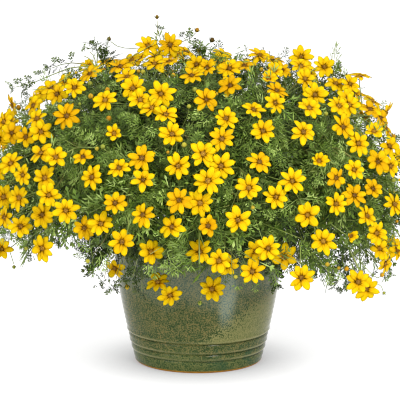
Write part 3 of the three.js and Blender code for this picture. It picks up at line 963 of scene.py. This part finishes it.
# Blooms that stand out from the dome in the photograph: its column and row, the depth behind the axis,
# which way the bloom faces, and its radius
HANGING_BLOOMS = [
    (212, 289, -176, (0.05, -1, 0.12), 16.5), (170, 295, -168, (0.25, -1, -0.45), 15),
    (158, 282, -176, (-0.1, -0.75, 0.8), 15), (115, 268, -120, (-0.5, -0.7, -0.35), 14.5),
    (151, 252, -235, (0.1, -1, 0.2), 16), (200, 252, -245, (-0.2, -0.9, 0.5), 16),
    (256, 251, -230, (0.2, -0.8, -0.25), 15.5), (284, 257, -190, (0.1, -1, -0.1), 16.5),
    (228, 265, -215, (0.1, -0.9, -0.35), 15),
]

# The photograph's other blooms, over the front of the dome: column and row
FRONT_BLOOMS = [
    (126, 54), (231, 61), (262, 62), (133, 64), (189, 64), (207, 68), (154, 70), (246, 70), (282, 70),
    (87, 72), (268, 79), (77, 80), (53, 84), (249, 84), (306, 84), (236, 87), (59, 88), (112, 91),
    (161, 94), (315, 95), (212, 96), (187, 98), (283, 98), (40, 99), (140, 100), (275, 103), (328, 103),
    (105, 104), (349, 105), (118, 106), (152, 108), (365, 113), (303, 116), (171, 118), (79, 121),
    (112, 122), (250, 122), (289, 126), (343, 127), (263, 131), (41, 132), (153, 133), (105, 135),
    (26, 137), (375, 138), (222, 139), (142, 142), (358, 143), (173, 145), (316, 145), (66, 146),
    (40, 148), (30, 154), (203, 154), (261, 156), (83, 157), (372, 158), (389, 165), (178, 166),
    (221, 166), (252, 166), (119, 168), (354, 170), (270, 172), (308, 172), (85, 173), (23, 175),
    (45, 178), (128, 178), (336, 178), (143, 180), (182, 184), (210, 185), (394, 186), (2, 187),
    (373, 189), (67, 192), (359, 194), (259, 195), (276, 197), (22, 198), (172, 199), (244, 201),
    (396, 202), (115, 203), (302, 203), (336, 204), (204, 207), (98, 208), (282, 209), (84, 214),
    (143, 215), (367, 216), (238, 220), (51, 220), (258, 221), (101, 224), (362, 225), (72, 226),
    (208, 226), (172, 227), (322, 229), (115, 231), (297, 231), (41, 233), (3, 234), (27, 237),
    (354, 238), (78, 240), (122, 242), (328, 247), (2, 249), (389, 259), (243, 261), (358, 263),
]

# Blooms at the dome's outline, given as the hanging ones are
SIDE_BLOOMS = [
    (13, 105, -20, (-0.9, -0.45, -0.3), 15), (4, 122, -30, (-0.6, -0.7, 0.3), 15),
    (360, 76, 10, (0.1, -0.25, 1), 15.5), (350, 84, -20, (0.5, -0.7, 0.5), 15),
    (386, 112, -30, (0.9, -0.3, -0.5), 15), (170, 45, -10, (0.1, -1, 0.15), 15.5),
    (148, 46, 0, (0.2, -0.9, 0.5), 15), (301, 57, 0, (0, -1, 0.25), 15.5),
    (324, 67, -10, (0.3, -0.9, 0.2), 15.5),
]

# Lone buds: column, row, depth, ripeness and size
LONE_BUDS = [
    (157, 17, 60, 0.9, 2.4), (197, 30, -5, 0.85, 2.8), (212, 40, -20, 1, 3.1), (109, 39, -10, 0.95, 2.5),
    (23, 110, 0, 0.1, 2), (14, 267, -60, 0.2, 2.2), (367, 295, -70, 0.95, 2.8), (384, 293, -60, 0.2, 2),
    (340, 70, 0, 0.2, 2), (127, 287, -130, 0.5, 3), (248, 273, -180, 0.4, 2.8), (200, 303, -178, 0.1, 2.6),
]

# Lone shoots: column, row, depth, how far they end across and upwards, and the length of a leaf
LONE_SHOOTS = [
    (184, 38, -5, -0.6, 1, 20), (197, 50, -15, 0.2, 1, 20), (94, 45, -10, -0.8, 0.6, 22),
    (84, 56, -20, -1, 0.2, 20), (109, 57, -10, -0.4, 1, 22), (90, 52, -15, -0.9, 0.5, 20),
    (100, 62, -15, -0.6, 0.8, 20), (52, 68, -10, -1, -0.5, 20), (16, 87, -15, -1, -0.1, 22),
    (32, 90, -25, -1, 0.2, 22), (159, 31, -10, -0.1, 1, 14), (336, 72, -10, 0.8, 0.6, 20),
    (352, 98, 0, 1, 0.1, 22), (382, 130, -20, 1, -0.2, 24), (394, 140, 0, 1, 0.1, 24),
    (98, 262, -130, -0.6, -1, 27), (97, 270, -125, -0.7, -0.7, 27), (116, 279, -136, -0.2, -1, 26),
    (104, 250, -110, -0.8, -0.6, 27), (94, 256, -118, -0.9, -0.5, 24), (109, 268, -138, 0.2, -1, 26),
    (122, 272, -146, -0.1, -1, 26), (104, 279, -132, -0.3, -0.9, 26), (110, 284, -140, 0.6, -0.8, 24),
    (100, 254, -126, 0.3, -1, 27), (112, 258, -142, -0.4, -0.9, 27), (142, 291, -150, 0.1, -1, 18),
    (133, 276, -165, -0.3, -1, 24), (170, 268, -200, 0.1, -1, 24), (186, 258, -215, 0, -1, 26),
    (222, 258, -215, 0.1, -1, 26), (245, 264, -190, 0.1, -1, 24), (262, 270, -150, 0.3, -1, 24),
    (274, 282, -120, 0.3, -1, 24), (272, 262, -160, 0.4, -0.8, 26), (32, 252, -80, -1, -0.6, 22),
    (26, 236, -60, -0.8, -0.8, 26), (62, 240, -120, -0.4, -1, 22), (84, 244, -120, -0.2, -1, 22),
    (42, 244, -90, -0.5, -0.9, 22), (50, 234, -95, -0.8, -0.4, 24), (306, 270, -110, 0.7, -0.7, 26),
    (318, 266, -100, 0.5, -0.8, 26), (314, 256, -140, -0.5, -0.8, 27), (334, 262, -120, 0.5, -0.8, 27),
    (300, 262, -150, 0.2, -1, 27), (346, 268, -110, -0.6, -0.7, 26), (328, 278, -90, 0.8, -0.5, 26),
    (337, 284, -75, -0.4, -0.8, 22), (345, 280, -60, 0.6, -0.7, 24), (362, 276, -60, 0.7, -0.6, 22),
    (386, 272, -60, 0.8, -0.5, 24), (276, 282, -120, 0.2, -1, 18),
]


def nearest_place(group, point, lowest=0.3, highest=0.95):
    """The stem and the share of it that come nearest to a point."""
    shares = np.linspace(lowest, highest, 14)
    best = min(
        ((np.linalg.norm(bezier(stem.controls, shares) - point, axis=1), stem) for stem in group),
        key=lambda found: found[0].min(),
    )
    return best[1], float(shares[int(best[0].argmin())])


def lone_root(group, end):
    stem, share = nearest_place(group, end + UP * 25 - outward(end) * 25)
    return stem, point_at(stem.controls, share), tangent_at(stem.controls, share)

for column, row, depth, facing, radius in HANGING_BLOOMS + SIDE_BLOOMS:
    centre = seen(column, row, depth)
    stem, root, leaving = lone_root(sprays, centre)
    stand_bloom(stem, centre, unit(facing), radius, root)
for pixel in FRONT_BLOOMS:
    add_bloom(on_dome(*pixel))
for index in range(MORE_BLOOMS):
    add_side_bloom(index)
for index in range(BUDS):
    add_bud(index)
for column, row, depth, ripeness, size in LONE_BUDS:
    end = seen(column, row, depth)
    stem, root, leaving = lone_root(sprays, end)
    facing = unit(unit(end - root) * 0.7 + UP * (0.5 if end[2] > DOME_CENTRE else -0.2))
    peduncle(stem.shape, root, leaving, end, facing, 0.5, 0.4)
    bud(stem.shape, end, facing, size, ripeness)
standing_centres = np.array([bloom[0] for bloom in standing])


# Side shoots that end evenly over the dome, shorter ones inside it, and some over the pot's rim

OUTER_SHOOTS = 390
LONG_SHARE = 0.22
INNER_SHOOTS = 130
CORE_SHOOTS = 140
SKIRT_SHOOTS = 120
RIM_SHOOTS = 56
TUFT_LENGTH = 42
SKIRT_CLEARANCE = 0.12


def side_shoot(index, count, low, high, pairs, length, templates=None, tuft=3):
    """A shoot that ends at its own place over the dome, between two shares of the arch that leads there."""
    azimuth, polar = heading(index, count)
    azimuth += draw(-0.07, 0.07) / max(0.35, math.sin(polar))
    lowest = lowest_at(azimuth) - (SKIRT_CLEARANCE if high > 1 else 0.0)
    polar = min(max(0.0, polar + draw(-0.07, 0.09)), lowest)
    dome_shoot(azimuth, polar, draw(low, high), pairs, length, templates, tuft)


def skirt_shoot(index):
    """A broad-leaved shoot just behind the dome's lower edge, which closes it to the light."""
    azimuth = index * GOLDEN_ANGLE
    polar = lowest_at(azimuth) - draw(0.03, 0.36)
    dome_shoot(azimuth, polar, draw(0.68, 0.96), 2, 46, broad_leaves, 3)


def dome_shoot(azimuth, polar, reached, pairs, length, templates, tuft):
    end = point_at(arch(azimuth, polar), reached)
    stem = nearest(leafy_stems, end)
    reach = np.linalg.norm(stem.end - end)
    share = float(np.clip(0.92 - reach / 210 + draw(-0.08, 0.04), 0.25, 0.95))
    root = point_at(stem.controls, share)
    arriving = unit(outward(end) * 0.7 + unit(end - root) * 0.7 + UP * draw(-0.5, 0.4))
    leaving = tangent_at(stem.controls, share)
    shoot(stem.shape, root, leaving, end, arriving, pairs, length, templates, tuft)


def rim_shoot(index):
    """A shoot that bends out over the pot's rim and hangs before its wall."""
    azimuth = index * GOLDEN_ANGLE
    out = np.array([math.cos(azimuth), math.sin(azimuth), 0.0])
    end = out * draw(122, 158) + UP * draw(146, 184)
    stem, share = nearest_place(leafy_stems, out * 90 + UP * 200, 0.12, 0.6)
    root = point_at(stem.controls, share)
    arriving = unit(out * 0.4 - UP * draw(0.3, 1.0))
    shoot(stem.shape, root, tangent_at(stem.controls, share), end, arriving, 3, 36)


for index in range(OUTER_SHOOTS):
    low, high = (0.98, 1.05) if draw(0, 1) < LONG_SHARE else (0.86, 0.97)
    side_shoot(index, OUTER_SHOOTS, low, high, 3, 33, tuft=2)
for index in range(INNER_SHOOTS):
    side_shoot(index, INNER_SHOOTS, 0.66, 0.84, 2, 48, short_leaves)
for index in range(CORE_SHOOTS):
    side_shoot(index, CORE_SHOOTS, 0.35, 0.72, 3, 60, broad_leaves)
for index in range(SKIRT_SHOOTS):
    skirt_shoot(index)
for index in range(RIM_SHOOTS):
    rim_shoot(index)
for column, row, depth, across, rising, length in LONE_SHOOTS:
    end = seen(column, row, depth)
    stem, root, leaving = lone_root(leafy_stems, end)
    lowest = max(0.3, 1 - TUFT_LENGTH / np.linalg.norm(end - root))
    arriving = unit([across, 0.0, rising])
    shoot(stem.shape, root, leaving, end, arriving, 5, length, tuft_leaves, 4, 0.8, lowest, 0.3)
for stem in leafy_stems:
    whorls(stem)


# Pot

GROOVE_HALF = 1.5
BAND_RISE = 3.4
BAND_HALF = 1.8
BAND_RELIEF = 0.8
TURNING_MARK = 0.12
POT_SIDES = 128


def wall_radius(height):
    share = height / POT_HEIGHT
    return FOOT_RADIUS + (RIM_RADIUS - FOOT_RADIUS) * share + BELLY_SWELL * math.sin(math.pi * share)


def pot_outside():
    """The wall's outside from the foot up, with its thrown grooves and the bands between them."""
    profile = []
    for height in np.linspace(FOOT_CHAMFER, POT_HEIGHT - LIP_ROUND, 90):
        radius = wall_radius(height) + TURNING_MARK * math.sin(height * 0.9)
        for groove in GROOVE_HEIGHTS:
            radius -= GROOVE_DEPTH * math.exp(-((height - groove) / GROOVE_HALF) ** 2)
            radius += BAND_RELIEF * math.exp(-((height - groove - BAND_RISE) / BAND_HALF) ** 2)
        profile.append((radius, height))
    return profile


def pot_profile():
    lip = []
    for k in range(1, 10):
        angle = k / 10 * math.pi
        lip.append((
            RIM_RADIUS - WALL / 2 + WALL / 2 * math.cos(angle),
            POT_HEIGHT - LIP_ROUND + LIP_ROUND * math.sin(angle),
        ))
    inside = [(wall_radius(h) - WALL, h) for h in np.linspace(POT_HEIGHT - LIP_ROUND, FLOOR + 3, 14)]
    foot = FOOT_RADIUS - FOOT_CHAMFER
    return [
        (0, 0), (foot - 12, 0), (foot, 0), (foot + 1.4, 0.6),
        *pot_outside(), *lip, *inside, (wall_radius(FLOOR) - WALL - 4, FLOOR), (0, FLOOR),
    ]


def lathe(name, profile, sides):
    """A turned mesh about Z from a closed profile whose two ends lie on the axis."""
    points = turned_corners(profile, sides) * MM
    k = np.arange(sides)
    after = (k + 1) % sides
    faces = [(0, 1 + b, 1 + a) for a, b in zip(k, after)]
    for low in range(1, (len(profile) - 3) * sides, sides):
        high = low + sides
        faces += [(low + a, low + b, high + b, high + a) for a, b in zip(k, after)]
    top = len(points) - 1 - sides
    faces += [(top + a, top + b, len(points) - 1) for a, b in zip(k, after)]
    mesh = bpy.data.meshes.new(name)
    mesh.from_pydata(points.tolist(), [], faces)
    return add_object(name, mesh)


def drill(body):
    """Cuts the drainage holes through the pot's floor."""
    for k in range(DRAINS):
        turn = k / DRAINS * 2 * math.pi
        bpy.ops.mesh.primitive_cylinder_add(
            vertices=24, radius=DRAIN_RADIUS * MM, depth=4 * FLOOR * MM,
            location=(DRAIN_RING * math.cos(turn) * MM, DRAIN_RING * math.sin(turn) * MM, 0),
        )
        cutter = bpy.context.object
        cut = body.modifiers.new("drain", "BOOLEAN")
        cut.operation = "DIFFERENCE"
        cut.solver = "EXACT"
        cut.object = cutter
        bpy.context.view_layer.update()
        graph = bpy.context.evaluated_depsgraph_get()
        mesh = bpy.data.meshes.new_from_object(body.evaluated_get(graph))
        body.modifiers.clear()
        body.data = mesh
        bpy.data.objects.remove(cutter)


def glaze_material():
    """Olive ash glaze, finely speckled brown over green, bluish where it ran thick, with a plain patch
    lightened by painted highlight, a pale blue painted highlight streak beside it, and painted shade and
    highlight at the grooves.
    """
    graph = Graph("glaze", Specular_IOR_Level=0.14)
    fine = graph.noise(620, detail=2)
    speck = graph.plus(graph.times(fine, 0.8), graph.times(graph.noise(120), 0.2))
    axes = graph.node("SeparateXYZ", Vector=graph.place()).outputs
    across, height = axes["X"], axes["Z"]
    cloud = graph.math("SUBTRACT", graph.noise(14), 0.5)
    front = graph.span(axes["Y"], 0.02, -0.03)

    def wander(source, amount):
        return graph.plus(source, graph.times(cloud, amount))

    # Brown over green, bluish up the wall, greener at the foot
    body = graph.ramp(speck, [
        (0.38, (40, 60, 28)), (0.47, (67, 82, 43)), (0.54, (96, 97, 55)), (0.62, (120, 108, 62)),
    ])
    blue = graph.ramp(speck, [(0.38, (72, 92, 80)), (0.49, (104, 113, 90)), (0.6, (124, 124, 92))])
    glazed = graph.blend(graph.span(wander(height, 0.09), 0.075, 0.125), body, blue)
    deep = graph.ramp(speck, [(0.4, (44, 68, 34)), (0.56, (96, 105, 58))])
    glazed = graph.blend(graph.span(wander(height, 0.06), 0.036, 0.012, 0.0, 0.7), glazed, deep)

    # Teal where it pooled low on the right
    pool = graph.times(graph.span(graph.noise(70, detail=4), 0.5, 0.62), graph.span(across, 0.0, 0.035))
    pool = graph.times(pool, graph.span(height, 0.036, 0.03, 0.0, 0.6), front)
    glazed = graph.blend(pool, glazed, rgba((44, 74, 48)))

    # A plain patch low on the right, lightened by painted highlight, whose left edge slants and breaks into
    # specks
    crumbs = graph.times(graph.math("SUBTRACT", speck, 0.5), 0.12)
    slant = graph.plus(wander(across, 0.03), graph.times(height, -1.0))
    slant = graph.plus(slant, graph.span(height, 0.05, 0.04, 0.0, 0.016), crumbs)
    ending = graph.span(graph.plus(wander(height, 0.04), crumbs), 0.096, 0.082)
    patch = graph.times(graph.span(slant, -0.028, -0.018), ending, graph.span(height, 0.037, 0.041))
    plain_and_highlight = graph.ramp(speck, [(0.36, (94, 102, 56)), (0.6, (132, 130, 80))])
    glazed = graph.blend(graph.times(patch, front, 0.85), glazed, plain_and_highlight)

    # A painted highlight beside it: a pale blue streak, mottled by the specks
    beside = graph.apart(wander(across, 0.02), 0.037)
    highlight_streak = graph.times(graph.span(beside, 0.014, 0.002), graph.span(wander(height, 0.05), 0.062, 0.1))
    highlight_pale = graph.ramp(speck, [(0.4, (100, 122, 116)), (0.5, (138, 150, 136)), (0.6, (154, 156, 122))])
    glazed = graph.blend(graph.times(highlight_streak, front, 0.8), glazed, highlight_pale)

    # Dark lines in the grooves, partly pooled glaze and partly painted shade, and pale bands above them where
    # the glaze thins on the ridges, with painted highlight palest at the sides
    highlight_sideways = graph.span(graph.math("ABSOLUTE", across), 0.025, 0.075, 0.22, 0.6)
    for groove in GROOVE_HEIGHTS:
        line = graph.span(graph.apart(height, groove * MM), 0.0018, 0.0003)
        pooled_and_shaded = graph.times(line, graph.span(cloud, -0.1, 0.15, 0.0, 0.6))
        glazed = graph.blend(pooled_and_shaded, glazed, rgba((30, 40, 18)))
        thin_glaze_and_highlight = graph.times(graph.span(graph.apart(height, (groove + 3.2) * MM), 0.002, 0.0002), highlight_sideways)
        glazed = graph.blend(thin_glaze_and_highlight, glazed, rgba((146, 140, 96)))

    # Bare clay along the foot
    bare = graph.span(graph.plus(height, graph.times(fine, 0.001)), 0.0038, 0.0026)
    clay = graph.ramp(graph.noise(300), [(0.35, (146, 96, 20)), (0.65, (180, 126, 34))])
    rough = graph.ramp(bare, [(0.0, (96, 96, 96)), (1.0, (210, 210, 210))])
    graph.link(rough, graph.shader.inputs["Roughness"])
    graph.bump(speck, 0.12, 0.0006)
    return graph.paint(graph.blend(bare, glazed, clay))


pot = lathe("glazed_pot", pot_profile(), POT_SIDES)
drill(pot)
pot.data.materials.clear()
pot.data.materials.append(glaze_material())
pot.data.shade_smooth()
pot.data.set_sharp_from_angle(angle=math.radians(50))
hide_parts("pot")
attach(pot, "root")


# Potting mix

SOIL_SIDES = 72
SOIL_ROWS = 22
BARK_CHIPS = 420


def soil_material():
    graph = Graph("potting_mix", Roughness=0.95)
    grain = graph.noise(260, detail=5, roughness=0.65)
    dark = graph.ramp(grain, [(0.35, (30, 20, 13)), (0.52, (62, 42, 27)), (0.7, (112, 82, 54))])
    graph.bump(grain, 0.9, 0.002)
    return graph.paint(dark)


def bark(rim):
    """Chips that lie about on the mix."""
    spread = rim * np.sqrt(rng.uniform(0, 0.94, BARK_CHIPS))
    angle = rng.uniform(0, 2 * np.pi, BARK_CHIPS)
    height = np.full(BARK_CHIPS, SOIL_TOP + 1.4)
    spots = np.stack([spread * np.cos(angle), spread * np.sin(angle), height], 1)
    way = rng.uniform(0, 2 * np.pi, BARK_CHIPS)
    lines = units(np.stack([np.cos(way), np.sin(way), rng.uniform(-0.2, 0.5, BARK_CHIPS)], 1))
    normals = units(UP - lines * lines[:, 2:])
    lengths = rng.uniform(4, 9, BARK_CHIPS)
    return blades(spots, lines, normals, lengths, rng.uniform(2, 4.5, BARK_CHIPS), 1.4)


def crumbly_soil():
    ring = circle(SOIL_SIDES)
    rim = wall_radius(SOIL_TOP) - WALL - 1
    foot = wall_radius(FLOOR) - WALL - 5
    points = [[UP * (SOIL_TOP + SOIL_CROWN)]]
    for k in range(1, SOIL_ROWS + 1):
        height = SOIL_TOP + SOIL_CROWN * (1 - k / SOIL_ROWS) - 1.5 * (k == SOIL_ROWS)
        crumb = rng.uniform(-1.3, 1.0, SOIL_SIDES)
        points.append(ring * rim * k / SOIL_ROWS + np.outer(height + crumb, UP))
    points += [ring * foot + UP * (FLOOR + 1), [UP * (FLOOR + 1)]]
    shape = Shape()
    shape.add(np.concatenate(points), ring_faces(SOIL_SIDES, SOIL_ROWS + 1)[:, ::-1], 0)
    shape.add(*bark(rim), 0)
    shape.piece("crumbly_potting_mix", [soil_material()], "potting_mix", "soil")


crumbly_soil()

for stem in stems:
    kind, slot = ("leafy_shoots", "foliage") if stem.leafy else ("blooming_spray", "petals")
    stem.shape.piece(f"{kind}_{stem.number:02d}", PLANT_FINISHES, slot, stem.node)


# Studio

SHADOW_REACH = 0.09


def floor_material():
    """Pale, with a soft shadow where something stands near it."""
    graph = Graph("studio_floor", Roughness=0.9, Specular_IOR_Level=0.0, Emission_Strength=0.85)
    hollow = graph.node("AmbientOcclusion", Distance=SHADOW_REACH)
    hollow.samples = 8
    shadow = graph.ramp(hollow.outputs["AO"], [(0.35, (166, 166, 169)), (0.93, (255, 255, 255))])
    graph.link(shadow, graph.shader.inputs["Emission Color"])
    return graph.paint(graph.ramp(graph.noise(2), [(0.3, (150, 150, 150)), (0.7, (154, 154, 154))]))


def make_floor():
    bpy.ops.mesh.primitive_plane_add(size=60, location=(0, 0, 0))
    floor = bpy.context.object
    floor.name = "studio_floor"
    floor.data.materials.append(floor_material())


def light(name, place, aim, size, power):
    data = bpy.data.lights.new(name, "AREA")
    data.shape = "RECTANGLE"
    data.size, data.size_y = size
    data.energy = power
    lamp = add_object(name, data)
    lamp.location = place
    direction = np.array(aim, float) - np.array(place, float)
    yaw = math.atan2(direction[1], direction[0]) - math.pi / 2
    down = math.atan2(-direction[2], math.hypot(direction[0], direction[1]))
    lamp.rotation_euler = (math.pi / 2 - down, 0, yaw)


def make_studio():
    world = bpy.data.worlds.new("studio")
    bpy.context.scene.world = world
    world.use_nodes = True
    world.node_tree.nodes["Background"].inputs["Color"].default_value = (1.0, 1.0, 1.0, 1.0)
    world.node_tree.nodes["Background"].inputs["Strength"].default_value = 0.9
    light("key", (1.1, -2.2, 1.9), (0, 0, 0.25), (0.9, 1.4), 55)
    light("fill", (-1.9, -1.8, 1.2), (0, 0, 0.2), (1.6, 1.6), 14)
    settings = bpy.context.scene.view_settings
    settings.view_transform = "Standard"
    settings.look = "None"
    bpy.context.scene.cycles.use_denoising = True
    bpy.context.scene.cycles.filter_width = 1.1


make_floor()
make_studio()

bpy.context.view_layer.update()
